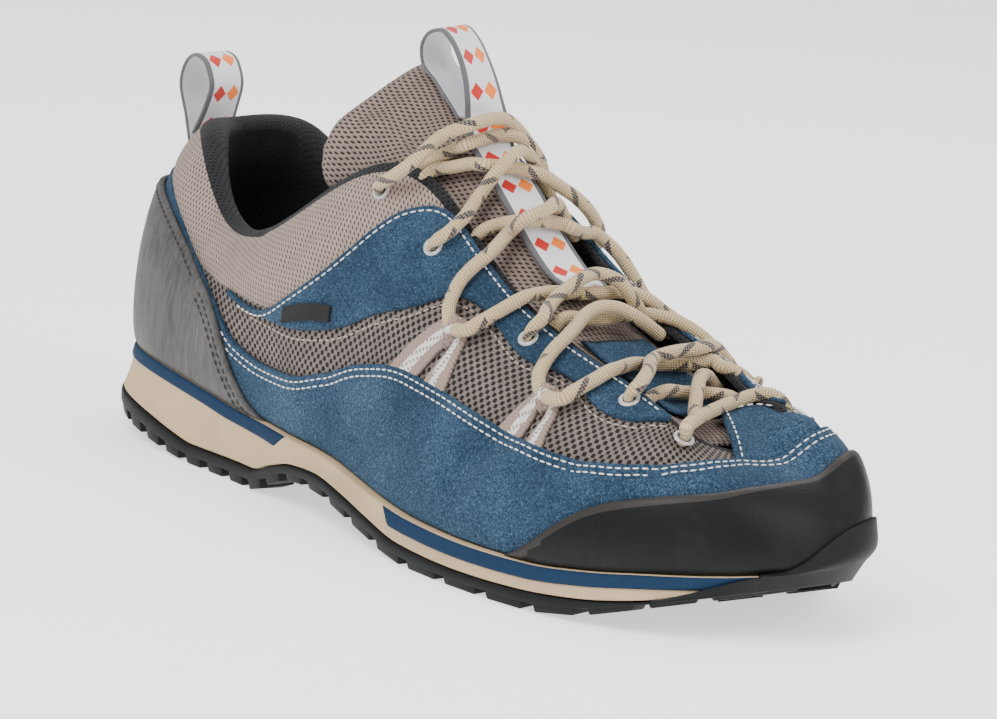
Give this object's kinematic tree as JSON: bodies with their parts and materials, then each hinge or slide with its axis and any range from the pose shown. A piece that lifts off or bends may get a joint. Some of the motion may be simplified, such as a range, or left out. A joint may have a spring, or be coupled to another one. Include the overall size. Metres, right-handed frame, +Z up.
{
  "type": "approach shoe",
  "caption": "Low-cut laced approach shoe for the right foot, with suede and mesh upper, padded tongue, toe rand and lugged rubber sole.",
  "frame": {"origin": "middle of the shoe's length and width, on the floor that the sole stands on", "axes": "+X from heel to toe, +Y to the inner side of the foot, +Z up"},
  "size_m": [0.3064, 0.1112, 0.1391],
  "materials": {
    "black_rubber": "matt black outsole rubber",
    "beige_foam": "matt speckled beige foam",
    "blue_band": "satin blue foam strip",
    "insole_foam": "black knitted cover on foam",
    "sand_knit": "sand and brown spacer mesh",
    "blue_suede": "blue split suede with a short nap",
    "grey_leather": "brushed grey nubuck-like leather",
    "rand_rubber": "thin satin black rubber",
    "white_tape": "woven tape with grey edges and small warm-coloured marks",
    "sand_webbing": "sand webbing with a white centre",
    "eyelet_metal": "off-white painted eyelets",
    "black_tag": "bare black woven tag",
    "sand_lace": "round braided lace, sand with dark blue flecks"
  },
  "bodies": {
    "root": {"eyelet_inner_1": "eyelet_metal", "eyelet_inner_2": "eyelet_metal", "eyelet_inner_3": "eyelet_metal", "eyelet_inner_4": "eyelet_metal", "eyelet_inner_5": "eyelet_metal", "eyelet_outer_1": "eyelet_metal", "eyelet_outer_2": "eyelet_metal", "eyelet_outer_3": "eyelet_metal", "eyelet_outer_4": "eyelet_metal", "eyelet_outer_5": "eyelet_metal", "eyestay_inner": "blue_suede", "eyestay_outer": "blue_suede", "heel_counter": "grey_leather", "heel_loop": "white_tape", "insole": "insole_foam", "lace_bar": "sand_lace", "lace_crossing_1": "sand_lace", "lace_crossing_2": "sand_lace", "lace_crossing_3": "sand_lace", "lace_crossing_4": "sand_lace", "lace_crossing_5": "sand_lace", "lace_crossing_6": "sand_lace", "lace_top": "sand_lace", "midsole": "beige_foam", "midsole_front_band": "blue_band", "midsole_heel_band": "blue_band", "mudguard": "blue_suede", "outsole": "black_rubber", "side_tag": "black_tag", "toe_rand": "rand_rubber", "tongue": "sand_knit", "tongue_cover": "blue_suede", "tongue_tape": "white_tape", "upper": "sand_knit", "webbing_front_inner": "sand_webbing", "webbing_front_outer": "sand_webbing", "webbing_rear_inner": "sand_webbing", "webbing_rear_outer": "sand_webbing"}
  },
  "joints": []
}
